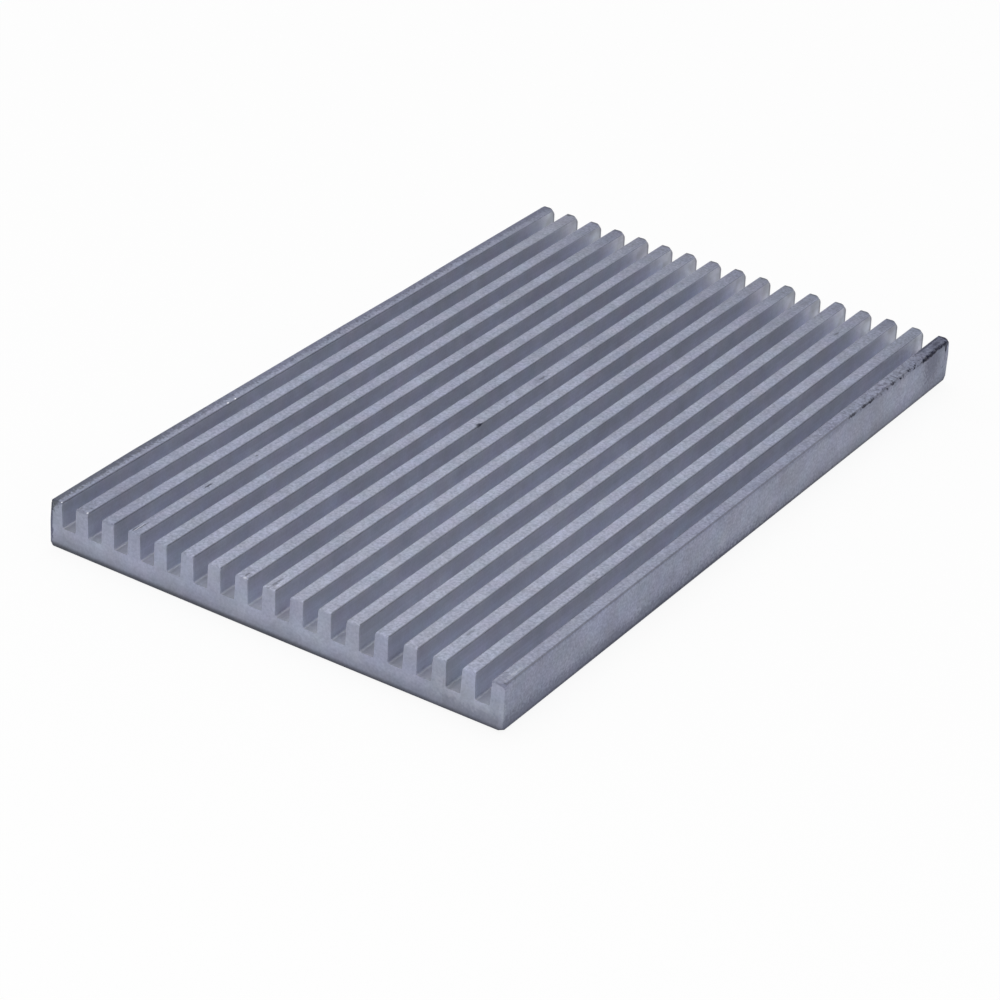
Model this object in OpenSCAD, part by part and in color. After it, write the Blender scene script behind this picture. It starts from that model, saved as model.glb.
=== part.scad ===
// Extruded heat sink: a flat base carrying a row of low straight fins.
//
// The bar is pushed through a die, so one section holds all along it. It is
// then sawn to length, and its sawn edges are dressed. The section is drawn
// flat and extruded along Y. X runs across the fins and Z runs up them, and the
// origin is the middle of the underside, which is the face that takes the heat.

/* [Body] */
// Sawn length, along the fins
length = 100; // [30:1:200]
// Width of the section, across the fins
width = 60; // [45:0.5:90]
// Thickness of the base under the grooves
base_t = 2.8; // [1.5:0.1:8]
// Radius of the underside's two long edges
foot_r = 0.6; // [0.1:0.05:1.2]

/* [Fins] */
// Number of fins
fin_count = 17; // [3:1:22]
// Height of the fins above the grooves' floor
fin_h = 3.2; // [1.5:0.1:12]
// Thickness of a fin at its tip
fin_tip_t = 1.65; // [0.8:0.05:2.4]
// How much thicker a fin is at its root than at its tip
fin_taper = 0.15; // [0:0.01:0.5]
// Radius of the two edges along a fin's tip
tip_r = 0.12; // [0.05:0.01:0.35]
// Radius of the outermost fins' outer top edge
shoulder_r = 0.35; // [0.1:0.05:0.75]
// Radius where a flank runs into the groove's floor
root_r = 0.25; // [0.05:0.05:0.45]

/* [Sawn ends] */
// Radius that dressing leaves on the underside's sawn edges
end_foot_r = 0.3; // [0.05:0.05:1.2]
// Radius that dressing leaves on the fins' sawn top corners
end_tip_r = 0.15; // [0.05:0.05:0.7]

/* [Hidden] */
$fn = 32;
total_h = base_t + fin_h;
fin_pitch = (width - fin_tip_t) / (fin_count - 1);
half_tip = fin_tip_t / 2;
half_root = half_tip + fin_taper / 2;
groove_floor_w = fin_pitch - 2 * half_root;
// A fillet is no larger than its wall and its gap leave room for
root_fillet_r = min(root_r, 0.45 * groove_floor_w, 0.4 * fin_h);
// The outer top edge's round stops short of the fin's middle
shoulder_round_r = min(shoulder_r, 0.8 * half_tip);
// How deep a fin's outline reaches into the base, so that the two become one
embed = base_t / 2;
mill_grey = [0.61, 0.63, 0.70];

// Half of a fin, on the side where it faces a groove. It stands on y = 0 with
// the fin's middle on x = 0. The flank leans from the fillet at its root to the
// round at its tip.
module grooved_half() {
    tip_x = half_tip - tip_r;
    tip_y = fin_h - tip_r;
    root_x = half_root + root_fillet_r;
    difference() {
        union() {
            polygon([
                [0, -embed],
                [root_x, -embed],
                [root_x, 0],
                [half_root, root_fillet_r],
                [half_tip, tip_y],
                [tip_x, fin_h],
                [0, fin_h]
            ]);
            translate([tip_x, tip_y]) circle(tip_r);
        }
        translate([root_x, root_fillet_r]) circle(root_fillet_r);
    }
}

// Half of an outermost fin, on the side that goes straight down as the edge of
// the base
module outer_half() {
    tip_x = half_tip - shoulder_round_r;
    tip_y = fin_h - shoulder_round_r;
    polygon([
        [0, -embed],
        [half_tip, -embed],
        [half_tip, tip_y],
        [tip_x, fin_h],
        [0, fin_h]
    ]);
    translate([tip_x, tip_y]) circle(shoulder_round_r);
}

// All the fins, standing on y = 0
module fin_row() {
    for (i = [0 : fin_count - 1])
        translate([(i - (fin_count - 1) / 2) * fin_pitch, 0]) {
            mirror([1, 0])
                if (i == 0) outer_half();
                else grooved_half();
            if (i == fin_count - 1) outer_half();
            else grooved_half();
        }
}

// Plate of width w and height h on y = 0 with its lower corners rounded
module plate(w, h, r) {
    translate([-w / 2, r]) square([w, h - r]);
    translate([r - w / 2, 0]) square([w - 2 * r, h]);
    for (side = [-1, 1])
        translate([side * (w / 2 - r), r]) circle(r);
}

// The extruded section: base and fins in one
module section() {
    plate(width, base_t, foot_r);
    translate([0, base_t]) fin_row();
}

// The bar seen from its side, once it is sawn and its sawn edges are dressed
module side_view() {
    joint_z = total_h / 2;
    plate(length, joint_z, end_foot_r);
    translate([0, total_h])
        mirror([0, 1]) plate(length, total_h - joint_z, end_tip_r);
}

// The heat sink: the section along the bar, trimmed to its dressed side view
module heat_sink() {
    color(mill_grey)
        intersection() {
            rotate([90, 0, 0])
                linear_extrude(length, center = true) section();
            rotate([90, 0, 90])
                linear_extrude(width, center = true) side_view();
        }
}

heat_sink();
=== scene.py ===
# %% [markdown]
# # An extruded heat sink, dressed and worn
#
# A heat sink of this kind starts as a log of soft aluminium that is pushed hot through a steel die. The die
# gives the bar its section: a flat base with a row of low fins. The bar is then sawn to length. This lesson
# builds that bar around the model that the workshop has already fixed, gives it the grey satin skin that
# the die leaves, adds the knocks of a few years in a parts drawer, and puts it in a plain studio.

# %% Load the fixed frame
import math

import bmesh
import bpy
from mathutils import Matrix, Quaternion, Vector, noise


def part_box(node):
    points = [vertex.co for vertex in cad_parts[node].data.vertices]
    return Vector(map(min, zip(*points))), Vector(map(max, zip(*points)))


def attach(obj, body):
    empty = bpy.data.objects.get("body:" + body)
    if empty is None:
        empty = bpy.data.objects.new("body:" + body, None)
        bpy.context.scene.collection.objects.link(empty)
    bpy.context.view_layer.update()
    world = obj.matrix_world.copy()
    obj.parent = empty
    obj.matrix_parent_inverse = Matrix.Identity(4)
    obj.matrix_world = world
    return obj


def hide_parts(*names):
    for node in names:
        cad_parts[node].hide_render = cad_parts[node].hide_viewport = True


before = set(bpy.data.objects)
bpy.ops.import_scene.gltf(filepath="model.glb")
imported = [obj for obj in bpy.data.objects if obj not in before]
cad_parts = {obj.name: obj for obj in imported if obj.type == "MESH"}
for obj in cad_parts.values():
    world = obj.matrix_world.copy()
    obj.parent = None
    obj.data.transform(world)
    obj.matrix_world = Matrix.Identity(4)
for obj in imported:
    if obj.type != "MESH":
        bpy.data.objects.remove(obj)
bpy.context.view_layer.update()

# %% [markdown]
# ## Sizes
#
# Blender works in metres, and a heat sink is drawn in millimetres, so one name, MM, turns one into the
# other. The overall sizes come from the frame. The section's own sizes are those of the die.

# %% Read the bar's sizes
MM = 0.001
low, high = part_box("heat_sink")
WIDTH = high.x - low.x
LENGTH = high.y - low.y
HEIGHT = high.z - low.z
FIN_COUNT = 17
FIN_HEIGHT = 3.2 * MM
FIN_TIP = 1.65 * MM
FIN_TAPER = 0.15 * MM
BASE = HEIGHT - FIN_HEIGHT
PITCH = (WIDTH - FIN_TIP) / (FIN_COUNT - 1)
print(f"{FIN_COUNT} fins, {PITCH / MM:.3f} mm apart, on a base {BASE / MM:.2f} mm thick")


def fin_centre(number):
    """Where the middle of a fin lies across the bar. Fin 1 is the outermost on the left."""
    return (number - (FIN_COUNT + 1) / 2) * PITCH


# %% [markdown]
# ## Camera
#
# A flat part is best seen from one corner and from about 30 degrees up: low enough to look into the
# grooves' ends, high enough to see the rows run away. A long lens keeps the rows nearly parallel. The
# camera is set by where it stands and what it looks at, and is then turned a little about its own axis.

# %% Set the camera
CAMERA_PLACE = Vector((175.2, -288.1, 187.4)) * MM
CAMERA_AIM = Vector((5.9, -14.4, 3.0)) * MM
CAMERA_LENS = 118.0
CAMERA_ROLL = math.radians(3.72)

camera_data = bpy.data.cameras.new("studio_camera")
camera_data.lens = CAMERA_LENS
camera_data.clip_start = 0.01
camera_data.clip_end = 20.0
camera = bpy.data.objects.new("studio_camera", camera_data)
camera.location = CAMERA_PLACE
camera.rotation_mode = "QUATERNION"
level = (CAMERA_AIM - CAMERA_PLACE).to_track_quat("-Z", "Y")
camera.rotation_quaternion = level @ Quaternion((0, 0, 1), CAMERA_ROLL)
bpy.context.scene.collection.objects.link(camera)
bpy.context.scene.camera = camera
print(f"camera {(CAMERA_AIM - CAMERA_PLACE).length / MM:.0f} mm from the bar")

# %% [markdown]
# ## The bar
#
# The section could be drawn as one outline and extruded. It is quicker to read the other way round: start
# with the base as a block, mark where the fins stand, and pull those strips up. Each fin is then one and
# the same solid with the base, as it is in the metal. The flat faces that the marking leaves side by side
# are joined again, so that every edge that is left is a real one.

# %% Pull the fins out of the base
ROOT_HALF = (FIN_TIP + FIN_TAPER) / 2
TIP_HALF = FIN_TIP / 2


def cut_across(bar, direction, place):
    """Cuts every face of the bar along one plane, and takes nothing away."""
    everything = bar.verts[:] + bar.edges[:] + bar.faces[:]
    bmesh.ops.bisect_plane(bar, geom=everything, plane_co=direction * place, plane_no=direction)


bar = bmesh.new()
bmesh.ops.create_cube(bar, size=1.0)
bmesh.ops.scale(bar, vec=(WIDTH, LENGTH, BASE), verts=bar.verts)
bmesh.ops.translate(bar, vec=(0, 0, BASE / 2), verts=bar.verts)
for number in range(1, FIN_COUNT):
    cut_across(bar, Vector((1, 0, 0)), fin_centre(number) + ROOT_HALF)
    cut_across(bar, Vector((1, 0, 0)), fin_centre(number + 1) - ROOT_HALF)


def nearest_fin(x):
    """The centre of the fin that lies nearest to x."""
    number = round(x / PITCH + (FIN_COUNT + 1) / 2)
    return fin_centre(min(max(number, 1), FIN_COUNT))


def under_a_fin(face):
    """True for a strip of the base's upper face on which a fin stands."""
    middle = face.calc_center_median()
    return face.normal.z > 0.5 and abs(middle.x - nearest_fin(middle.x)) < PITCH / 4


strips = [face for face in bar.faces if under_a_fin(face)]
pulled = bmesh.ops.extrude_face_region(bar, geom=strips)
tips = [item for item in pulled["geom"] if isinstance(item, bmesh.types.BMVert)]
bmesh.ops.delete(bar, geom=[face for face in strips if face.is_valid], context="FACES_ONLY")
bmesh.ops.translate(bar, vec=(0, 0, FIN_HEIGHT), verts=tips)
for corner in tips:
    centre = nearest_fin(corner.co.x)
    corner.co.x = centre + math.copysign(TIP_HALF, corner.co.x - centre)
bmesh.ops.dissolve_limit(bar, angle_limit=math.radians(1), verts=bar.verts, edges=bar.edges)
print(f"{len(strips)} fins pulled, {len(bar.faces)} flat faces")

# %% [markdown]
# ## Rounds and fillets
#
# Hot metal won't fill a sharp corner of a die, and a die with one would crack. So each fin's tip has a
# small round, each flank runs into the floor through a fillet, and the outermost edges at the top and at
# the foot have larger rounds. The left shoulder has kept its edge better than the right one. A bevel makes
# all of them: on an inside corner it adds metal, and on an outside corner it takes it away.

# %% Round the long edges
TIP_R = 0.12 * MM
ROOT_R = 0.25 * MM
SHOULDER_R = 0.35 * MM
CRISP_SHOULDER_R = 0.06 * MM
FOOT_R = 0.6 * MM
NEAR = 0.01 * MM


def runs_along(edge):
    """True for an edge that runs from one sawn end to the other."""
    return abs(edge.verts[0].co.y - edge.verts[1].co.y) > LENGTH / 2


def long_edges_at(bar, height):
    """The edges that run along the bar at this height."""
    return [edge for edge in bar.edges if runs_along(edge) and abs(edge.verts[0].co.z - height) < NEAR]


def round_edges(bar, edges, radius, segments):
    """Rounds an outside corner or fills an inside one."""
    bmesh.ops.bevel(
        bar, geom=edges, offset=radius, offset_type="OFFSET", segments=segments,
        profile=0.5, affect="EDGES", material=-1, clamp_overlap=True,
    )


def side_of(edge):
    """1 on the bar's right side, -1 on its left, and 0 between them."""
    x = edge.verts[0].co.x
    return 0 if abs(abs(x) - WIDTH / 2) > NEAR else int(math.copysign(1, x))


roots = long_edges_at(bar, BASE)
round_edges(bar, roots, ROOT_R, segments=4)
right_shoulder = [edge for edge in long_edges_at(bar, HEIGHT) if side_of(edge) == 1]
round_edges(bar, right_shoulder, SHOULDER_R, segments=5)
left_shoulder = [edge for edge in long_edges_at(bar, HEIGHT) if side_of(edge) == -1]
round_edges(bar, left_shoulder, CRISP_SHOULDER_R, segments=3)


def is_tip_corner(edge):
    """True for an edge at the side of a fin's tip that hasn't been rounded yet."""
    return abs(abs(edge.verts[0].co.x - nearest_fin(edge.verts[0].co.x)) - TIP_HALF) < NEAR


tip_edges = [edge for edge in long_edges_at(bar, HEIGHT) if is_tip_corner(edge)]
round_edges(bar, tip_edges, TIP_R, segments=3)
feet = [edge for edge in long_edges_at(bar, 0) if side_of(edge)]
round_edges(bar, feet, FOOT_R, segments=6)
print(f"{len(roots)} fillets, {len(tip_edges)} tip rounds, 2 shoulders, {len(feet)} feet")

# %% [markdown]
# ## The sawn ends
#
# A saw leaves a sharp outline, which is taken off with a file or a brush. The whole outline loses a hair's
# breadth. The foot and the fins' top corners lose more, because they are what a file meets. First the bar
# is divided along its length, so that it has points to move. Then the outline is bevelled, and the points
# near an end are brought in to a quarter round.

# %% Dress the ends
OUTLINE_R = 0.05 * MM
END_FOOT_R = 0.3 * MM
END_TIP_R = 0.12 * MM
SLICES = 100
DRESSING_CUTS_MM = (0.1, 0.2, 0.3, 0.42, 0.58, 0.8)


def at_an_end(edge):
    """True for an edge of a sawn end's outline."""
    return all(LENGTH / 2 - abs(vert.co.y) < NEAR for vert in edge.verts)


def depth_in(vert):
    """How far a point lies from the nearer sawn end."""
    return LENGTH / 2 - abs(vert.co.y)


def taken_off(depth, radius):
    """What a quarter round of this radius takes off at a depth in from the end."""
    if depth >= radius:
        return 0.0
    return radius - math.sqrt(radius**2 - (radius - depth) ** 2)


bmesh.ops.subdivide_edges(bar, edges=[edge for edge in bar.edges if runs_along(edge)], cuts=SLICES - 1)
round_edges(bar, [edge for edge in bar.edges if at_an_end(edge)], OUTLINE_R, segments=2)
for depth in DRESSING_CUTS_MM:
    for end in (-1, 1):
        cut_across(bar, Vector((0, end, 0)), LENGTH / 2 - depth * MM)
for vert in bar.verts:
    foot = taken_off(depth_in(vert), END_FOOT_R)
    top = HEIGHT - taken_off(depth_in(vert), END_TIP_R)
    vert.co.z = min(max(vert.co.z, foot), top)
print(f"{len(bar.verts)} points in {SLICES} slices")

# %% [markdown]
# ## Wear
#
# This bar has been dropped, slid about and filed by hand. A ragged burr runs along the last of the right
# shoulder, the left shoulder has lost its edge in two places, the fins' corners are rubbed, most of all
# at the far end, and small flats show where something has struck the bar's corners. All of it takes metal
# away, so the bar stays inside its own box.
#
# A sculpting brush could do this by hand. Points that are moved by a rule give the same wear each time, so
# that is the way here. A mesh can only wear where it has points, so those stretches are cut up first.

# %% Cut up the stretches that will wear
BURR_START = 22 * MM
BURR_STEP = 0.33 * MM
SHOULDER_STRIP = 0.5 * MM
RUB_REACH = 0.9 * MM
CORNER_CUTS_DOWN_MM = (0.15, 0.35, 0.55, 0.8)
CORNER_CUTS_ACROSS_MM = (-0.7, 0.05, 0.3, 0.5, 0.66)


def divide(bar, keep, direction, places):
    """Cuts only the faces that keep() picks, to give wear more points to move."""
    faces = [face for face in bar.faces if keep(face.calc_center_median())]
    edges = {edge for face in faces for edge in face.edges}
    verts = {vert for face in faces for vert in face.verts}
    region = faces + list(edges) + list(verts)
    for place in places:
        cut = bmesh.ops.bisect_plane(bar, geom=region, plane_co=direction * place, plane_no=direction)
        region = cut["geom"]


def on_right_shoulder(middle):
    """True where the burr runs."""
    outside = middle.x > fin_centre(FIN_COUNT) and middle.z > HEIGHT - SHOULDER_STRIP
    return outside and middle.y > BURR_START


def on_fin_corners(middle):
    """True at the ends of the fins, above their root fillets."""
    return middle.z > BASE + ROOT_R and LENGTH / 2 - abs(middle.y) < RUB_REACH


burr_cuts = range(1, int((LENGTH / 2 - BURR_START) / BURR_STEP))
every_fin = range(1, FIN_COUNT + 1)
across_fins = [fin_centre(number) + off * MM for number in every_fin for off in CORNER_CUTS_ACROSS_MM]
divide(bar, on_right_shoulder, Vector((0, 1, 0)), [BURR_START + step * BURR_STEP for step in burr_cuts])
divide(bar, on_fin_corners, Vector((0, 0, 1)), [HEIGHT - depth * MM for depth in CORNER_CUTS_DOWN_MM])
divide(bar, on_fin_corners, Vector((1, 0, 0)), across_fins)
print(f"{len(bar.verts)} points, with {len(burr_cuts)} cuts across the burr")

# %% [markdown]
# ### Shoulders
#
# A burr is an edge that blows have bitten into and rolled over. Seen close, no two bites are alike, so a
# noise along the bar says how deep each one goes, and the bites grow from nothing over the first stretch.
# The left shoulder is worn more gently: each worn stretch is deepest in its middle and fades both ways.

# %% Wear the shoulders
BURR_ACROSS = 0.6 * MM
BURR_DOWN = 0.45 * MM
BURR_GROWTH = 18 * MM
BURR_DEPTH = 0.16 * MM
BURR_DROP = 0.8
BITES_PER_MM = 1.6
BITE_BIAS = 0.15
BITE_ROW = 3.0
LEFT_ZONE = 0.4 * MM
LEFT_DROP = 0.6
# Each worn stretch: where its middle lies from the near end, its half length and its depth, in millimetres
LEFT_WEAR = [(0.0, 14.0, 0.14), (67.0, 12.0, 0.06)]

for vert in bar.verts:
    x, y, z = vert.co
    if x > WIDTH / 2 - BURR_ACROSS and z > HEIGHT - BURR_DOWN and y > BURR_START:
        growth = min((y - BURR_START) / BURR_GROWTH, 1.0)
        bite = noise.noise(Vector((BITE_ROW, y / MM * BITES_PER_MM, z / MM))) + BITE_BIAS
        knock = max(bite, 0.0) * growth * BURR_DEPTH
        vert.co -= Vector((knock, 0, BURR_DROP * knock))
    if x < -WIDTH / 2 + LEFT_ZONE and z > HEIGHT - LEFT_ZONE:
        for from_near, reach, loss in LEFT_WEAR:
            rub = max(1 - abs((y + LENGTH / 2) / MM - from_near) / reach, 0.0) * loss
            vert.co += Vector((1, 0, -LEFT_DROP)) * rub * MM
print(f"burr over {(LENGTH / 2 - BURR_START) / MM:.0f} mm, and {len(LEFT_WEAR)} worn stretches on the left")

# %% [markdown]
# ### Fin corners
#
# The corners where a fin's tip meets a sawn end stand out, so they rub first. The loss falls off smoothly
# with how far in from the corner a point lies, which leaves a soft round and no step.

# %% Rub the fins' corners
# What the corner on the left and the one on the right lose, in millimetres
FAR_RUB = (0.03, 0.25)
NEAR_RUB = (0.03, 0.02)

rubbed = 0
for vert in bar.verts:
    aside = vert.co.x - nearest_fin(vert.co.x)
    inward = (TIP_HALF - abs(aside)) + depth_in(vert) + (HEIGHT - vert.co.z)
    if inward < RUB_REACH:
        left_rub, right_rub = FAR_RUB if vert.co.y > 0 else NEAR_RUB
        loss = (right_rub if aside > 0 else left_rub) * (1 - max(inward, 0) / RUB_REACH) ** 2 * MM
        vert.co -= Vector((math.copysign(loss, aside), math.copysign(loss, vert.co.y), loss))
        rubbed += 1
print(f"{rubbed} points rubbed")

# %% [markdown]
# ### Corner flats
#
# A blow on a corner leaves a small flat. One plane cuts it off, and the hole is filled with one face. The
# last two flats are so shallow that they only lift the ends of the right foot, as if the bar had bent a
# little.

# %% Strike the flats
# Right or left, far or near, top or foot, and what is lost along those three edges in millimetres
CORNER_FLATS = [
    (1, -1, 1, (0.6, 0.5, 0.6)),
    (1, -1, 0, (0.95, 0.9, 0.8)),
    (1, 1, 0, (0.8, 0.8, 1.0)),
    (1, 1, 1, (0.45, 0.35, 2.4)),
    (-1, -1, 1, (0.32, 0.3, 3.0)),
    (-1, -1, 0, (0.4, 0.5, 0.65)),
    (1, -1, 0, (45.0, 30.0, 0.36)),
    (1, 1, 0, (30.0, 40.0, 0.42)),
]


def knock_flat(bar, across, along, top, lost):
    """Takes a corner off along a plane."""
    corner = Vector((across * WIDTH / 2, along * LENGTH / 2, top * HEIGHT))
    up = 1 if top else -1
    outward = Vector((across / lost[0], along / lost[1], up / lost[2])).normalized()
    start = corner - Vector((across * lost[0] * MM, 0, 0))
    everything = bar.verts[:] + bar.edges[:] + bar.faces[:]
    cut = bmesh.ops.bisect_plane(bar, geom=everything, plane_co=start, plane_no=outward, clear_outer=True)
    rim = [item for item in cut["geom_cut"] if isinstance(item, bmesh.types.BMEdge)]
    bmesh.ops.edgeloop_fill(bar, edges=rim)


for across, along, top, lost in CORNER_FLATS:
    knock_flat(bar, across, along, top, lost)
print(f"{len(CORNER_FLATS)} corner flats, {len(bar.verts)} points")

# %% [markdown]
# ## From mesh to piece
#
# The bar's faces are closed and its normals point outwards. Flat faces should look flat and rounds should
# look round, so the shading is smooth and a Weighted Normal modifier lets the large faces decide.

# %% Make the piece
MERGE_DISTANCE = 0.001 * MM


def finish_mesh(bar, name):
    """Closes the mesh, turns its faces outwards and makes it a piece."""
    bmesh.ops.remove_doubles(bar, verts=bar.verts, dist=MERGE_DISTANCE)
    bmesh.ops.recalc_face_normals(bar, faces=bar.faces)
    for face in bar.faces:
        face.smooth = True
    mesh = bpy.data.meshes.new(name)
    bar.to_mesh(mesh)
    open_edges = sum(1 for edge in bar.edges if not edge.is_manifold)
    volume = bar.calc_volume() / MM**3
    print(f"{name}: {len(mesh.vertices)} points, volume {volume:.0f} mm3, {open_edges} open edges")
    piece = bpy.data.objects.new(name, mesh)
    bpy.context.scene.collection.objects.link(piece)
    return piece


finned_bar = finish_mesh(bar, "finned_bar")
bar.free()
weighted = finned_bar.modifiers.new("flat_faces_decide", "WEIGHTED_NORMAL")
weighted.mode = "FACE_AREA"
weighted.weight = 50

# %% [markdown]
# ## Colours and nodes
#
# Colours are written as they look on a screen, and a shader works with linear light, so one function turns
# one into the other. A second one adds a node, sets it and links it in one line.

# %% Colour and node helpers
def linear(hex_colour):
    """An sRGB hex colour as the linear colour that a shader takes."""
    parts = [int(hex_colour[start:start + 2], 16) / 255 for start in (1, 3, 5)]
    return [part / 12.92 if part <= 0.04045 else ((part + 0.055) / 1.055) ** 2.4 for part in parts] + [1.0]


def add(tree, kind, inputs=None, **settings):
    """Adds a node, sets its properties, and fills its inputs with values or links."""
    node = tree.nodes.new("ShaderNode" + kind)
    for name, value in settings.items():
        setattr(node, name, value)
    for name, value in (inputs or {}).items():
        if isinstance(value, bpy.types.NodeSocket):
            tree.links.new(value, node.inputs[name])
        else:
            node.inputs[name].default_value = value
    return node.outputs


print("a mid grey on the screen is", round(linear("#808080")[0], 3), "to a shader")

# %% [markdown]
# ## Mill finish
#
# Mill finish is the skin that the die leaves, with nothing done to it: satin, a little grey, with a sandy
# grain and faint lines along the bar where the die has dragged. Aluminium is a metal, so it has no colour
# of its own under the reflections: the shader is fully metallic, keeps its default IOR, and the base colour
# is the colour of the reflection. Real aluminium reflects nearly all light. This bar is dull with oxide, so
# its colour is a mid grey with a breath of blue, and it is rough enough to show no image of the room.
#
# Everything is measured in millimetres: the piece's own coordinates are metres, and are scaled once. The
# real grain is about 0.05 mm and too fine to show from here, so it is drawn about six times coarser. The
# patterns are noises, and nearly all of a noise lies between a quarter and three quarters.

# %% The grain that all of the bar's surfaces share
GRAIN_MM = 0.32
DRAG_ACROSS_MM = 0.3
DRAG_ALONG_MM = 30.0
CLOUD_MM = 7.0
BLOTCH_MM = 1.8
BLOTCH_DEPTH = 0.05
TINT_MM = 3.0
TINT_SPREAD = (0.12, 0.08, 0.12)
TINT_LOWEST = (0.94, 0.96, 0.94)
NOISE_LOW = 0.25
NOISE_HIGH = 0.75


def start_metal(name):
    """A new material with its place in millimetres."""
    material = bpy.data.materials.new(name)
    material.use_nodes = True
    tree = material.node_tree
    tree.nodes.clear()
    metres = add(tree, "TexCoord")["Object"]
    place = add(tree, "VectorMath", {0: metres, "Scale": 1 / MM}, operation="SCALE")[0]
    return material, tree, place


def sandy_tone(tree, place, grain, drag, cloud):
    """A tone about 1: sand, lines along the bar, clouds and small blotches, each with its own depth."""
    squeeze = (1 / DRAG_ACROSS_MM, 1 / DRAG_ALONG_MM, 1 / DRAG_ACROSS_MM)
    lines = add(tree, "VectorMath", {0: place, 1: squeeze}, operation="MULTIPLY")[0]
    fine = {"Vector": place, "Scale": 1 / GRAIN_MM, "Detail": 2.0, "Roughness": 0.65}
    sand = add(tree, "TexNoise", fine)[0]
    drags = add(tree, "TexNoise", {"Vector": lines, "Scale": 1.0, "Detail": 2.0})[0]
    clouds = add(tree, "TexNoise", {"Vector": place, "Scale": 1 / CLOUD_MM, "Detail": 3.0})[0]
    blotches = add(tree, "TexNoise", {"Vector": place, "Scale": 1 / BLOTCH_MM, "Detail": 1.0})[0]
    tone = 1.0
    patterns = ((sand, grain), (drags, drag), (clouds, cloud), (blotches, BLOTCH_DEPTH))
    for pattern, depth in patterns:
        ends = {1: NOISE_LOW, 2: NOISE_HIGH, 3: 1 - depth, 4: 1 + depth}
        step = add(tree, "MapRange", {0: pattern, **ends})[0]
        tone = add(tree, "Math", {0: tone, 1: step}, operation="MULTIPLY")[0]
    return tone, sand


def tinted(tree, place, hex_colour, tone):
    """A colour in a tone, with faint warm and cool patches as thin oxide has."""
    patches = add(tree, "TexNoise", {"Vector": place, "Scale": 1 / TINT_MM, "Detail": 2.0})["Color"]
    spread = {0: patches, 1: TINT_SPREAD, 2: TINT_LOWEST}
    cast = add(tree, "VectorMath", spread, operation="MULTIPLY_ADD")[0]
    colour = add(tree, "VectorMath", {0: linear(hex_colour)[:3], "Scale": tone}, operation="SCALE")[0]
    return add(tree, "VectorMath", {0: colour, 1: cast}, operation="MULTIPLY")[0]


print(f"grain {GRAIN_MM} mm, drag lines {DRAG_ACROSS_MM} mm apart, clouds {CLOUD_MM:.0f} mm wide")

# %% [markdown]
# ## Soil, scratches, and painted light and shade
#
# A bar that has lain among others picks up dark marks where edges have rubbed, and bright ones where they
# have cut through the oxide. Some of the marks here are painted shade and painted highlights instead. Each
# one is a soft ragged spot with a centre and three half sizes. A long thin one is a scratch and a large
# soft one is a stain. Most are listed by fin, by how far off the fin's middle they lie, and by how far in
# from the near end, the way someone would note them with a ruler. Then come the half sizes, and the
# strength from 0 to
# 1. Places and sizes are in millimetres.

# %% How a mark is noted
RIGHT = WIDTH / MM / 2
NEAR_END = -LENGTH / MM / 2
TOP = HEIGHT / MM


def on_fin(number, off_middle, from_near, half_across, half_along, strength, half_high=0.25):
    """A mark on a fin's tip."""
    centre = (fin_centre(number) / MM + off_middle, from_near + NEAR_END, TOP)
    return centre, (half_across, half_along, half_high), strength


def on_side(from_near, height, half_along, half_high, strength):
    """A mark on the bar's right side."""
    return (RIGHT, from_near + NEAR_END, height), (0.4, half_along, half_high), strength


print(f"marks lie up to {RIGHT:.0f} mm aside, {-NEAR_END:.0f} mm along and {TOP:.0f} mm up")

# %% [markdown]
# ### Dark marks and painted shade
#
# The dark ones are soil rubbed into scratches and dents. Most lie on the tips, near the near end, and along
# the burr. Where the burr begins, the soil has caught only here and there, so the flecked marks break up.
# One long dark line along the foot of the right side is painted shade.

# %% Dark marks and painted shade
DARK_MARKS_AND_SHADE = [
    on_fin(4, -0.45, 0.8, 0.10, 0.7, 0.7),
    on_fin(4, -0.20, 1.7, 0.09, 0.9, 0.6),
    on_fin(4, -0.15, 13.2, 0.13, 0.8, 0.8),
    on_fin(4, -0.10, 22.0, 0.13, 0.2, 0.6),
    on_fin(8, 0.15, 0.9, 0.12, 0.4, 0.6),
    on_fin(9, -0.05, 1.5, 0.15, 1.3, 0.45),
    on_fin(8, 0.15, 51.0, 0.12, 0.3, 0.5),
    on_fin(8, 0.10, 58.8, 0.16, 0.6, 0.5),
    on_fin(8, 0.78, 44.2, 0.30, 0.45, 1.0),
    on_fin(15, -0.30, 6.2, 0.16, 0.7, 0.4),
    on_fin(14, 0.05, 92.0, 0.16, 0.6, 0.5),
    on_fin(17, 0.55, 0.3, 0.14, 0.2, 0.45, 0.3),
    on_fin(2, -0.3, 99.6, 0.25, 0.25, 0.7),
    on_fin(1, -0.8, 0.1, 0.25, 0.4, 0.9, 0.8),
    on_fin(1, -0.1, 0.0, 0.75, 0.8, 0.22, 0.3),
    on_side(74.6, 5.86, 0.9, 0.12, 0.9),
    on_side(77.6, 5.86, 0.9, 0.12, 1.0),
    on_side(79.2, 5.82, 0.9, 0.13, 1.0),
    on_side(85.0, 5.85, 0.5, 0.16, 1.0),
    on_side(93.4, 5.70, 1.0, 0.26, 1.0),
    on_side(95.3, 5.78, 1.0, 0.28, 1.0),
    on_side(97.2, 5.85, 1.2, 0.24, 1.0),
    on_side(98.9, 5.80, 0.7, 0.30, 1.0),
    # Painted shade: a dark line along the foot of the right side
    on_side(40.0, 0.45, 30.0, 0.40, 0.35),
    on_fin(17, -0.6, 96.5, 0.18, 3.0, 0.6, 0.4),
    on_fin(17, 0.0, 97.8, 0.30, 0.9, 0.5, 0.4),
    on_fin(17, 0.2, 99.7, 0.90, 0.25, 0.8, 0.5),
    on_side(99.1, 5.05, 0.16, 0.50, 0.9),
    ((-29.85, NEAR_END, 5.2), (0.20, 0.3, 0.9), 0.8),
    on_side(98.8, 2.60, 0.20, 0.20, 0.4),
]
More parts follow.
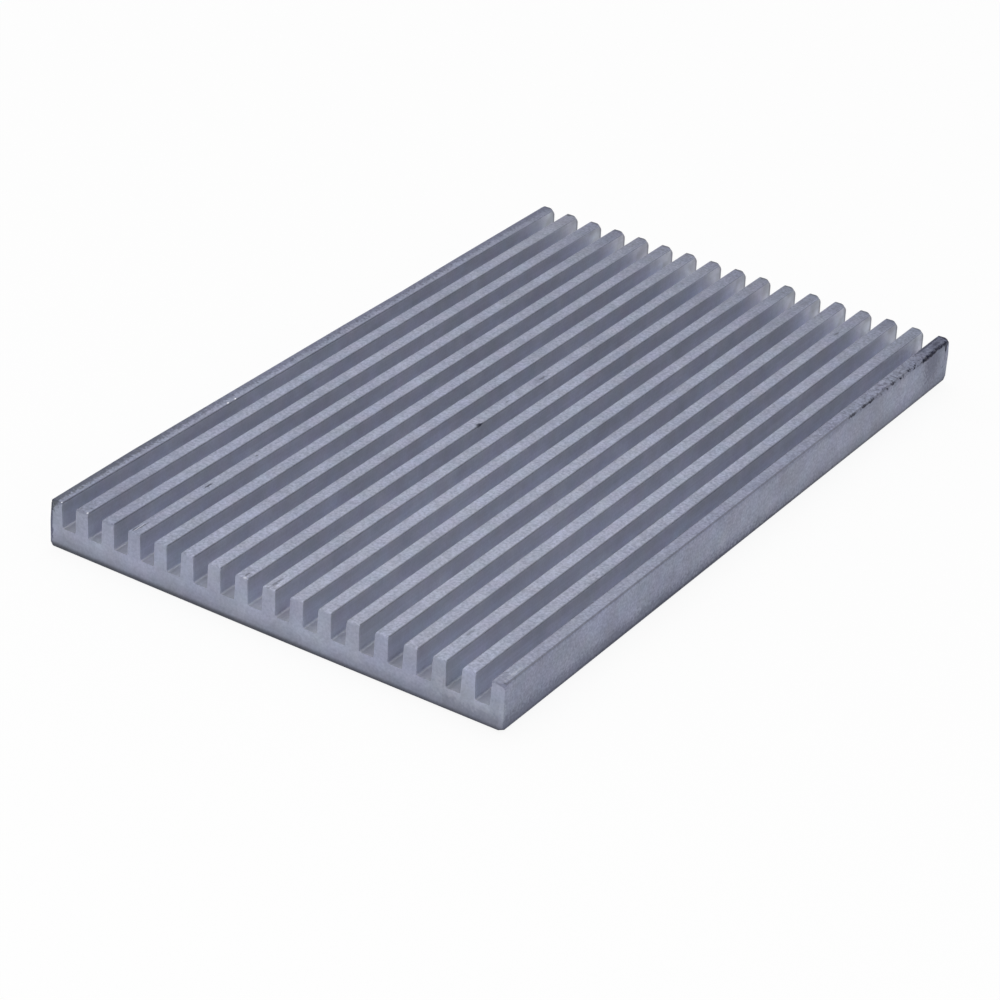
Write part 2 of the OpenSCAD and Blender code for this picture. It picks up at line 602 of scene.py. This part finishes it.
FLECKED_MARKS = [
    on_side(90.0, 5.82, 11.0, 0.26, 1.0),
    on_fin(17, 0.2, 86.5, 1.0, 9.0, 0.4, 0.4),
    on_fin(1, 0.0, 60.0, 0.5, 26.0, 0.4),
]
print(len(DARK_MARKS_AND_SHADE), "dark marks and", len(FLECKED_MARKS), "flecked ones")

# %% [markdown]
# ### Grease, stains and painted shade
#
# These are broad and faint. The outer fins are handled most, so they are the most stained, and a film of
# grease lies on the left shoulder near the near end. Some of the stains are painted shade: along the foot,
# on the grooves' floors by the near end, and in the last groove near the far end.

# %% Grease, stains and painted shade
GREASE_MARKS = [
    on_fin(1, -0.85, 0.0, 1.0, 26.0, 0.88, 1.0),
]
STAINS_AND_SHADE = [
    on_fin(1, -0.60, 50.0, 0.75, 140.0, 0.66, 1.0),
    on_fin(1, 0.0, 50.0, 3.0, 140.0, 0.17, 1.0),
    on_fin(1, -0.3, 4.0, 0.9, 6.0, 0.3, 1.0),
    on_fin(2, -0.4, 0.0, 1.2, 3.5, 0.35),
    on_fin(3, -8.0, 0.0, 12.0, 12.0, 0.25),
    on_fin(4, 0.0, 99.0, 0.9, 4.0, 0.3),
    on_fin(8, 0.05, 58.0, 0.5, 1.8, 0.25),
    on_fin(15, 0.0, 99.0, 0.9, 3.0, 0.3),
    on_fin(17, 0.0, 50.0, 3.0, 140.0, 0.25),
    on_fin(17, 0.0, 0.0, 1.4, 2.4, 0.5),
    on_fin(17, 0.0, 90.0, 1.6, 15.0, 0.25),
    on_fin(17, 0.5, 80.0, 1.1, 40.0, 0.35, 0.6),
    on_fin(17, 0.0, 99.0, 1.6, 5.5, 0.68, 0.6),
    # Painted shade along the foot of the right side and of the near end
    on_side(10.0, 0.4, 50.0, 1.5, 0.5),
    ((24.0, NEAR_END, 0.6), (14.0, 0.5, 1.2), 0.12),
    on_side(95.6, 4.4, 2.0, 2.8, 0.6),
    # Painted shade along the foot of the side's far stretch
    on_side(90.0, 1.1, 22.0, 0.9, 0.12),
    # Painted shade on the grooves' floors by the near end
    ((18.0, NEAR_END + 1.4, 2.8), (16.0, 1.3, 0.35), 0.2),
    # Painted shade in the last groove near the far end
    ((27.0, 45.0, 4.6), (0.9, 4.0, 1.0), 0.15),
    ((27.0, 49.2, 4.6), (0.9, 1.2, 0.9), 0.25),
    ((-29.85, NEAR_END, 3.2), (0.2, 0.3, 3.2), 0.8),
]
print(len(GREASE_MARKS), "film of grease and", len(STAINS_AND_SHADE), "stains")

# %% [markdown]
# ### Bright marks, painted highlights and scuffs
#
# A fresh cut goes through the oxide to clean metal. Some of the bright marks are painted highlights and
# painted light: small glints on fins 1 and 2, and broad faint brightening of the tips, the right side and
# the near end. A scuff is many small scratches side by side, so it is no colour of its own: it breaks the
# tone up into pale and dark.

# %% Bright marks, painted highlights and scuffs
BRIGHT_MARKS_AND_HIGHLIGHTS = [
    # Painted highlights: glints on the inner near corners of fins 1 and 2
    on_fin(1, 0.66, 0.2, 0.09, 0.12, 0.7),
    on_fin(2, 0.68, 0.2, 0.08, 0.10, 0.6),
    on_fin(8, 0.35, 0.15, 0.25, 0.15, 0.4),
    # Painted light: broad faint brightening of the tips' near half, the right side and the near end
    on_fin(13, 0.0, 0.0, 20.0, 45.0, 0.05, 8.0),
    on_side(70.0, 4.0, 28.0, 4.5, 0.04),
    ((26.0, NEAR_END, 3.0), (4.5, 0.5, 1.3), 0.07),
    on_fin(2, 0.0, 97.0, 1.2, 16.0, 0.05),
    # Painted highlights: two glints on the inner edge of fin 1
    on_fin(1, 0.62, 29.9, 0.10, 0.15, 0.9),
    on_fin(1, 0.66, 31.3, 0.09, 0.15, 0.9),
    on_fin(4, -0.33, 1.2, 0.07, 1.0, 0.35),
    on_fin(17, 0.25, 2.5, 0.18, 1.8, 0.15),
    on_fin(9, 0.35, 1.4, 0.08, 1.0, 0.2),
]
SCUFFS = [
    on_fin(17, 0.0, 78.0, 1.6, 17.0, 0.8, 0.5),
    on_fin(17, 0.0, 3.0, 1.2, 4.0, 0.25),
    on_fin(2, -0.2, 1.0, 1.0, 3.5, 0.7),
    on_fin(8, 0.1, 0.6, 0.9, 2.0, 0.6),
    on_fin(9, 0.1, 0.8, 0.9, 3.0, 0.6),
    on_fin(17, 0.2, 97.0, 1.2, 4.0, 1.0, 0.6),
    on_fin(1, -0.5, 50.0, 0.8, 80.0, 0.8, 0.6),
]
print(len(BRIGHT_MARKS_AND_HIGHLIGHTS), "bright marks and", len(SCUFFS), "scuffs")

# %% [markdown]
# ## Laying the marks on the metal
#
# Each mark becomes a mask that is 1 in its middle and 0 outside it. No real scratch or stain has a smooth
# outline, so noise pushes the mask's edge in and out. The mask then mixes the mark's own colour over the
# metal. Only the marks that can reach a surface go into its material. That keeps the materials quick, and
# it has to be so, because a material has room for only so many. The tips carry 65 with their scuffs, and
# 76 turn them black.

# %% Ragged spots
RAG_MM = 0.35
RAG_PUSH = 1.2


def spots(tree, place, marks, softness):
    """One mask that is 1 inside any of the marks. Each mark is a centre, half sizes and a strength."""
    rag = add(tree, "TexNoise", {"Vector": place, "Scale": 1 / RAG_MM, "Detail": 4.0})["Color"]
    to_and_fro = {0: rag, 1: [2 * RAG_PUSH] * 3, 2: [-RAG_PUSH] * 3}
    rag = add(tree, "VectorMath", to_and_fro, operation="MULTIPLY_ADD")[0]
    mask = 0.0
    for centre, half_sizes, strength in marks:
        sharpness = [1 / half for half in half_sizes]
        start = [-at / half for at, half in zip(centre, half_sizes)]
        offset = add(tree, "VectorMath", {0: place, 1: sharpness, 2: start}, operation="MULTIPLY_ADD")[0]
        offset = add(tree, "VectorMath", {0: offset, 1: rag}, operation="ADD")[0]
        reach = add(tree, "VectorMath", {0: offset}, operation="LENGTH")["Value"]
        spot = add(
            tree, "MapRange", {0: reach, 1: 1 + softness, 2: 1 - softness, 3: 0.0, 4: strength},
            interpolation_type="SMOOTHSTEP",
        )[0]
        mask = add(tree, "Math", {0: mask, 1: spot}, operation="MAXIMUM")[0]
    return mask


print(f"a mark's edge strays over steps of {RAG_MM} mm")

# %% [markdown]
# Scuffs and flecks are masks with a second, finer noise in them. In a scuff it makes the metal paler and
# darker in turn. In flecked soil only the peaks of the noise show.

# %% Scuffs and flecks
SPECKLE_MM = 0.45
SPECKLE_LOW = 0.35
SPECKLE_HIGH = 0.65
SPECKLE_DEPTH = 0.28
FLECK_MM = 0.5
FLECK_STARTS = 0.52
FLECK_FULL = 0.62
SOFT_EDGE = 0.5


def scuffed(tree, place, tone, marks):
    """Breaks a tone up into pale and dark speckle inside the scuffs."""
    fine = {"Vector": place, "Scale": 1 / SPECKLE_MM, "Detail": 3.0, "Roughness": 0.7}
    speckle = add(tree, "TexNoise", fine)[0]
    ends = {1: SPECKLE_LOW, 2: SPECKLE_HIGH, 3: 1 - SPECKLE_DEPTH, 4: 1 + SPECKLE_DEPTH}
    speckle = add(tree, "MapRange", {0: speckle, **ends})[0]
    share = spots(tree, place, marks, SOFT_EDGE)
    speckle = add(tree, "Mix", {0: share, 2: 1.0, 3: speckle})[0]
    return add(tree, "Math", {0: tone, 1: speckle}, operation="MULTIPLY")[0]


def flecked(tree, place, marks):
    """A mask that breaks up into separate flecks inside the marks."""
    flecks = add(tree, "TexNoise", {"Vector": place, "Scale": 1 / FLECK_MM, "Detail": 2.0})[0]
    flecks = add(tree, "MapRange", {0: flecks, 1: FLECK_STARTS, 2: FLECK_FULL})[0]
    inside = spots(tree, place, marks, SOFT_EDGE)
    return add(tree, "Math", {0: flecks, 1: inside}, operation="MULTIPLY")[0]


print(f"speckle of {SPECKLE_MM} mm in scuffs, flecks of {FLECK_MM} mm in soil")

# %% [markdown]
# The colours go on in the order in which they came to the bar: grease and stains first, then soil, then
# fresh cuts, and last the flecks of new soil. The painted shade goes on with the stains and the soil, and
# the painted highlights with the fresh cuts.

# %% The soil's own colours, and those of painted shade and highlights
SOIL_AND_SHADE = "#262839"
GREASE = "#5E625F"
STAIN_AND_SHADE_COLOUR = "#5F6276"
FRESH_CUT_AND_HIGHLIGHT = "#F2F3F6"
SOIL_AND_SHADE_EDGE = 0.45
CUT_AND_HIGHLIGHT_EDGE = 0.4


def soiled_and_shaded(tree, place, colour, reaches):
    """Lays grease, stains, dark marks, fresh cuts and painted light and shade over a colour, where they
    reach it.
    """
    layers = (
        (GREASE_MARKS, SOFT_EDGE, GREASE),
        (STAINS_AND_SHADE, SOFT_EDGE, STAIN_AND_SHADE_COLOUR),
        (DARK_MARKS_AND_SHADE, SOIL_AND_SHADE_EDGE, SOIL_AND_SHADE),
        (BRIGHT_MARKS_AND_HIGHLIGHTS, CUT_AND_HIGHLIGHT_EDGE, FRESH_CUT_AND_HIGHLIGHT),
    )
    for marks, softness, hex_colour in layers:
        mask = spots(tree, place, [mark for mark in marks if reaches(*mark)], softness)
        colour = add(tree, "Mix", {0: mask, 6: colour, 7: linear(hex_colour)}, data_type="RGBA")[2]
    mask = flecked(tree, place, [mark for mark in FLECKED_MARKS if reaches(*mark)])
    return add(tree, "Mix", {0: mask, 6: colour, 7: linear(SOIL_AND_SHADE)}, data_type="RGBA")[2]


print("soil is", SOIL_AND_SHADE, "and a fresh cut is", FRESH_CUT_AND_HIGHLIGHT)

# %% [markdown]
# ### Which marks reach which surface
#
# A mark's soft edge ends at about one and a half times its half size. The tests are simple and generous: a
# mark that is let in without need changes nothing. A mark that reaches over 5 mm to each side is a broad
# patch and none for the outer sides, and one that reaches over 40 mm each way along the bar is none for the
# ends.

# %% Sort the marks by surface
SOFT_REACH = 1.5
WIDE = 5.0
LONG = 40.0
CLEAR_OF_SIDES = 2.0
CLEAR_OF_TIP = 0.7


def reaches_tips(centre, half_sizes, strength):
    """True for a mark that comes up to the fins' tips."""
    return centre[2] + SOFT_REACH * half_sizes[2] > TOP


def reaches_walls(centre, half_sizes, strength):
    """True for a mark that goes down a fin's side, or is wider than a fin."""
    off_middle = abs(centre[0] - nearest_fin(centre[0] * MM) / MM)
    beside_tip = off_middle > CLEAR_OF_TIP or half_sizes[0] > WIDE
    return abs(centre[0]) < RIGHT - CLEAR_OF_SIDES and beside_tip


def reaches_sides(centre, half_sizes, strength):
    """True for a mark on an outer side."""
    return abs(centre[0]) + half_sizes[0] > RIGHT and half_sizes[0] < WIDE


def reaches_ends(centre, half_sizes, strength):
    """True for a mark at a sawn end."""
    return abs(centre[1]) + half_sizes[1] > -NEAR_END and half_sizes[1] < LONG


all_marks = DARK_MARKS_AND_SHADE + FLECKED_MARKS + GREASE_MARKS + STAINS_AND_SHADE + BRIGHT_MARKS_AND_HIGHLIGHTS
for reaches in (reaches_tips, reaches_walls, reaches_sides, reaches_ends):
    print(reaches.__name__ + ":", sum(reaches(*mark) for mark in all_marks), "marks")

# %% [markdown]
# ## Five finishes of one metal
#
# The bar is one metal, but its surfaces have had different lives, so each kind of surface has its own
# material. They share the grain, the tint and the marks. What differs is the grey, the roughness, and how
# the tone changes along the bar and up it, which the next helpers make. Several of these greys and tones
# are painted light and shade. In the last half millimetre before the far end the tone drops.

# %% Tones along the bar and up it
WANDER_MM = 2.2


def along_tone(tree, place, tone, steps, wander=0.0):
    """Changes a tone in smooth steps along the bar. Each has its start, its end and the tone after it.

    Wander is how far, in millimetres, the steps stray to and fro.
    """
    along = add(tree, "SeparateXYZ", {0: place})["Y"]
    if wander:
        stray = add(tree, "TexNoise", {"Vector": place, "Scale": 1 / WANDER_MM, "Detail": 1.0})[0]
        stray = add(tree, "MapRange", {0: stray, 3: -2 * wander, 4: 2 * wander})[0]
        along = add(tree, "Math", {0: along, 1: stray}, operation="ADD")[0]
    for first, last, tone_after in steps:
        step = add(
            tree, "MapRange", {0: along, 1: first, 2: last, 3: 1.0, 4: tone_after},
            interpolation_type="SMOOTHSTEP",
        )[0]
        tone = add(tree, "Math", {0: tone, 1: step}, operation="MULTIPLY")[0]
    return tone


def height_tone(tree, place, tone, steps):
    """Changes a tone in smooth steps up the bar. Each step is two heights and the tone at each."""
    height = add(tree, "SeparateXYZ", {0: place})["Z"]
    for lower, upper, tone_low, tone_high in steps:
        step = add(
            tree, "MapRange", {0: height, 1: lower, 2: upper, 3: tone_low, 4: tone_high},
            interpolation_type="SMOOTHSTEP",
        )[0]
        tone = add(tree, "Math", {0: tone, 1: step}, operation="MULTIPLY")[0]
    return tone


print(f"a step in tone strays over patches of {WANDER_MM} mm")

# %% [markdown]
# Every finish ends in the same shader: a metal with the grain as a faint bump. The grain lifts a brushed
# face by a few hundredths of a millimetre and a drawn one by a hundredth.

# %% The metal that all finishes end in
BUMP_STRENGTH = 0.3


def close_metal(tree, colour, sand, roughness, bump_mm):
    """The shader that all the finishes end in."""
    bump = add(tree, "Bump", {"Height": sand, "Strength": BUMP_STRENGTH, "Distance": bump_mm * MM})[0]
    inputs = {"Base Color": colour, "Metallic": 1.0, "Roughness": roughness, "Normal": bump}
    shader = add(tree, "BsdfPrincipled", inputs)
    add(tree, "OutputMaterial", {"Surface": shader[0]})


def give(piece, material):
    """Adds a material to a piece."""
    piece.data.materials.append(material)
    print(f"finish {len(piece.data.materials)} is {material.name}, {len(material.node_tree.nodes)} nodes")


# %% [markdown]
# ### Brushed tips
#
# The tips were brushed when the bar was cleaned, so they are the palest and the sandiest surface, and they
# show the scuffs. Painted shade makes them darker towards the far end.

# %% Brushed tips
TIP_GREY = "#9A9EAF"
# Painted shade along the tips: darker towards the far end
TIP_SHADE_ALONG = ((0.0, 25.0, 0.94), (30.0, 54.0, 0.72), (49.4, 49.75, 0.6))


def brushed_tips():
    """Pale sandy metal with marks and scuffs."""
    material, tree, place = start_metal("brushed_tips")
    tone, sand = sandy_tone(tree, place, grain=0.30, drag=0.06, cloud=0.05)
    tone = along_tone(tree, place, tone, TIP_SHADE_ALONG)
    tone = scuffed(tree, place, tone, SCUFFS)
    colour = tinted(tree, place, TIP_GREY, tone)
    colour = soiled_and_shaded(tree, place, colour, reaches_tips)
    close_metal(tree, colour, sand, roughness=0.72, bump_mm=0.03)
    return material


give(finned_bar, brushed_tips())

# %% [markdown]
# ### Shaded rounds
#
# The small rounds beside the tips rub against everything, so they are smoother than the tips. They look
# away from the light, and their grey is painted darker as shade, so each tip ends in a thin darker line.
# Near the far end they are painted paler, as painted light.

# %% Shaded rounds
# Painted shade: a darker grey than the tips'
ROUND_SHADE_GREY = "#757885"
# Painted light towards the far end, then a drop in tone at the end itself
ROUND_LIGHT_AND_SHADE = ((34.0, 46.0, 1.5), (49.4, 49.75, 0.5))


def shaded_rounds():
    """Smoother metal along the edges of the tips, painted darker as shade."""
    material, tree, place = start_metal("shaded_rounds")
    tone, sand = sandy_tone(tree, place, grain=0.15, drag=0.10, cloud=0.10)
    tone = along_tone(tree, place, tone, ROUND_LIGHT_AND_SHADE)
    colour = tinted(tree, place, ROUND_SHADE_GREY, tone)
    colour = soiled_and_shaded(tree, place, colour, reaches_tips)
    close_metal(tree, colour, sand, roughness=0.6, bump_mm=0.02)
    return material


give(finned_bar, shaded_rounds())

# %% [markdown]
# ### Groove walls
#
# Nothing touches the walls and floors of the grooves, so they are as the die left them: the smoothest skin.
# Its grey is painted paler than the tips', as painted light against the shade of the grooves. The floor is
# painted darker as shade, and the lower walls paler as light. Near the far end the walls are first paler
# and
# then darker, in ragged patches: painted light, then painted shade.

# %% Groove walls
# Painted light: a paler grey that lifts the grooves against their shade
WALL_LIT_GREY = "#BBBECA"
WALL_TONES = ((-50.0, -47.0, 1.065), (-20.0, 25.0, 0.96), (49.4, 49.75, 0.65))
# Painted light near the far end, then painted shade over the last 2.4 mm
WALL_FAR_LIGHT_AND_SHADE = ((42.5, 47.0, 1.13), (47.0, 49.4, 0.65))
# Painted shade on the grooves' floors, and painted light low on the walls
WALL_LIGHT_AND_SHADE_UP = ((2.8, 3.0, 0.66, 1.0), (3.8, 5.8, 1.16, 0.94))


def groove_walls():
    """The die's own skin, on the walls and floors of the grooves, with painted light and shade."""
    material, tree, place = start_metal("groove_walls")
    tone, sand = sandy_tone(tree, place, grain=0.06, drag=0.05, cloud=0.07)
    tone = along_tone(tree, place, tone, WALL_TONES)
    tone = along_tone(tree, place, tone, WALL_FAR_LIGHT_AND_SHADE, wander=1.2)
    tone = height_tone(tree, place, tone, WALL_LIGHT_AND_SHADE_UP)
    colour = tinted(tree, place, WALL_LIT_GREY, tone)
    colour = soiled_and_shaded(tree, place, colour, reaches_walls)
    close_metal(tree, colour, sand, roughness=0.58, bump_mm=0.01)
    return material


give(finned_bar, groove_walls())

# %% [markdown]
# ### Handled sides
#
# The outer sides are held in the hand and slid along the bench. They are clouded and rather dull, and
# painted shade darkens them towards the foot.

# %% Handled sides
SIDE_GREY = "#9599AB"
# Painted shade: the tone falls towards the foot, with a darker band along it
FOOT_SHADE_HEIGHTS = ((0.1, 2.6, 0.7, 1.0), (0.3, 0.95, 0.38, 1.0))


def handled_sides():
    """Clouded metal, with painted shade that darkens it towards the foot."""
    material, tree, place = start_metal("handled_sides")
    tone, sand = sandy_tone(tree, place, grain=0.20, drag=0.03, cloud=0.16)
    tone = height_tone(tree, place, tone, FOOT_SHADE_HEIGHTS)
    colour = tinted(tree, place, SIDE_GREY, tone)
    colour = soiled_and_shaded(tree, place, colour, reaches_sides)
    close_metal(tree, colour, sand, roughness=0.7, bump_mm=0.02)
    return material


give(finned_bar, handled_sides())

# %% [markdown]
# ### Sawn ends
#
# The ends are cut across the metal and dressed with a file. They have no drag lines, because those run
# along the bar, and they scatter light evenly.

# %% Sawn ends
SAWN_GREY = "#A6AABB"


def sawn_ends():
    """Evenly matt metal, with the same painted shade at the foot as the sides."""
    material, tree, place = start_metal("sawn_ends")
    tone, sand = sandy_tone(tree, place, grain=0.10, drag=0.0, cloud=0.08)
    tone = height_tone(tree, place, tone, FOOT_SHADE_HEIGHTS)
    colour = tinted(tree, place, SAWN_GREY, tone)
    colour = soiled_and_shaded(tree, place, colour, reaches_ends)
    close_metal(tree, colour, sand, roughness=0.72, bump_mm=0.015)
    return material


give(finned_bar, sawn_ends())

# %% [markdown]
# ## Which face has which finish
#
# A face knows where it lies and which way it looks, and that is enough to name its surface. Faces at a sawn
# end come first. Then come the leaning faces of the rounds, the flat tips, the grooves between the
# outermost fins' middles, and what is left is the outside. A round's last faces before the near end keep
# the tips' finish.

# %% Give each face its finish
TIP, ROUND, WALL, SIDE, END = range(5)
END_SKIN = 0.04 * MM
ROUND_STOP = 0.2 * MM
LEVEL = 0.98
LEANING = 0.1
SHOULDER_LEANING = 0.6


def finish_of(face):
    """Which finish a face has, from where it lies and which way it looks."""
    x, y, z = face.center
    if LENGTH / 2 - abs(y) < END_SKIN:
        return END
    on_shoulder = x > fin_centre(FIN_COUNT) and face.normal.x > 0
    steepest = SHOULDER_LEANING if on_shoulder else LEANING
    if z > HEIGHT - SHOULDER_R and steepest < face.normal.z < LEVEL:
        sideways = abs(face.normal.x) > LEANING
        return ROUND if sideways and y > ROUND_STOP - LENGTH / 2 else TIP
    if z > HEIGHT - TIP_R:
        return TIP
    if z > BASE - NEAR and abs(x) < WIDTH / 2 - TIP_HALF:
        return WALL
    return SIDE


faces_in = [0] * len(finned_bar.data.materials)
for face in finned_bar.data.polygons:
    face.material_index = finish_of(face)
    faces_in[face.material_index] += 1
for finish, count in zip(finned_bar.data.materials, faces_in):
    print(f"{finish.name}: {count} faces")
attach(finned_bar, "root")
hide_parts("heat_sink")

# %% [markdown]
# ## Studio
#
# A small metal part is shown on white paper, so that only its own greys are seen. The paper is a plain pale
# floor. To the camera and in reflections, nine tenths of it is pure white. The last tenth is matt paper,
# which keeps the bar's soft shadow. It lies a hair below the bar, or the two faces would fight for the same
# place.

# %% Floor
FLOOR_SIDE = 6.0
FLOOR_DROP = 0.02 * MM
PAPER = "#E8E8E8"
PAPER_WHITE_SHARE = 0.9

table_top = bmesh.new()
bmesh.ops.create_grid(table_top, x_segments=1, y_segments=1, size=FLOOR_SIDE / 2)
bmesh.ops.translate(table_top, vec=(0, 0, low.z - FLOOR_DROP), verts=table_top.verts)
floor_mesh = bpy.data.meshes.new("floor")
table_top.to_mesh(floor_mesh)
table_top.free()
floor = bpy.data.objects.new("floor", floor_mesh)
bpy.context.scene.collection.objects.link(floor)

paper = bpy.data.materials.new("white_paper")
paper.use_nodes = True
tree = paper.node_tree
tree.nodes.clear()
rays = add(tree, "LightPath")
seen = add(tree, "Math", {0: rays["Is Camera Ray"], 1: rays["Is Glossy Ray"]}, operation="MAXIMUM")[0]
seen = add(tree, "Math", {0: seen, 1: rays["Is Transmission Ray"]}, operation="MAXIMUM")[0]
share = add(tree, "Math", {0: seen, 1: PAPER_WHITE_SHARE}, operation="MULTIPLY")[0]
matt = add(tree, "BsdfDiffuse", {"Color": linear(PAPER)})[0]
glow = add(tree, "Emission", {"Color": (1, 1, 1, 1), "Strength": 1.0})[0]
mixed = add(tree, "MixShader", {0: share, 1: matt, 2: glow})[0]
add(tree, "OutputMaterial", {"Surface": mixed})
floor.data.materials.append(paper)
print(f"floor {FLOOR_DROP / MM:.2f} mm under the bar, with {paper.name} on it")

# %% [markdown]
# The room is white and even, and two softboxes give the light a direction: a large one overhead and behind,
# and a weak one in front that lifts the near end. The room lights the bar a little less than it looks
# bright.

# %% Room and lamps
ROOM_LIGHT = 0.8
ROOM_WHITE = 1.0

room = bpy.data.worlds.new("white_room")
bpy.context.scene.world = room
room.use_nodes = True
tree = room.node_tree
tree.nodes.clear()
rays = add(tree, "LightPath")
seen = add(tree, "Math", {0: rays["Is Camera Ray"], 1: rays["Is Glossy Ray"]}, operation="MAXIMUM")[0]
seen = add(tree, "Math", {0: seen, 1: rays["Is Transmission Ray"]}, operation="MAXIMUM")[0]
strength = add(tree, "MapRange", {0: seen, 3: ROOM_LIGHT, 4: ROOM_WHITE})[0]
background = add(tree, "Background", {"Color": (1, 1, 1, 1), "Strength": strength})[0]
add(tree, "OutputWorld", {"Surface": background})


def softbox(name, place, size, power):
    """A square lamp that looks at the bar."""
    lamp = bpy.data.lights.new(name, "AREA")
    lamp.size = size
    lamp.energy = power
    holder = bpy.data.objects.new(name, lamp)
    holder.location = place
    holder.rotation_mode = "QUATERNION"
    holder.rotation_quaternion = (-Vector(place)).to_track_quat("-Z", "Y")
    bpy.context.scene.collection.objects.link(holder)
    return holder


softbox("overhead_softbox", (-0.35, 0.4, 1.1), size=0.9, power=3.0)
softbox("front_softbox", (0.05, -0.3, 0.25), size=0.25, power=0.3)
print(len(bpy.data.lights), "softboxes in", room.name)

bpy.context.scene.view_settings.view_transform = "Standard"
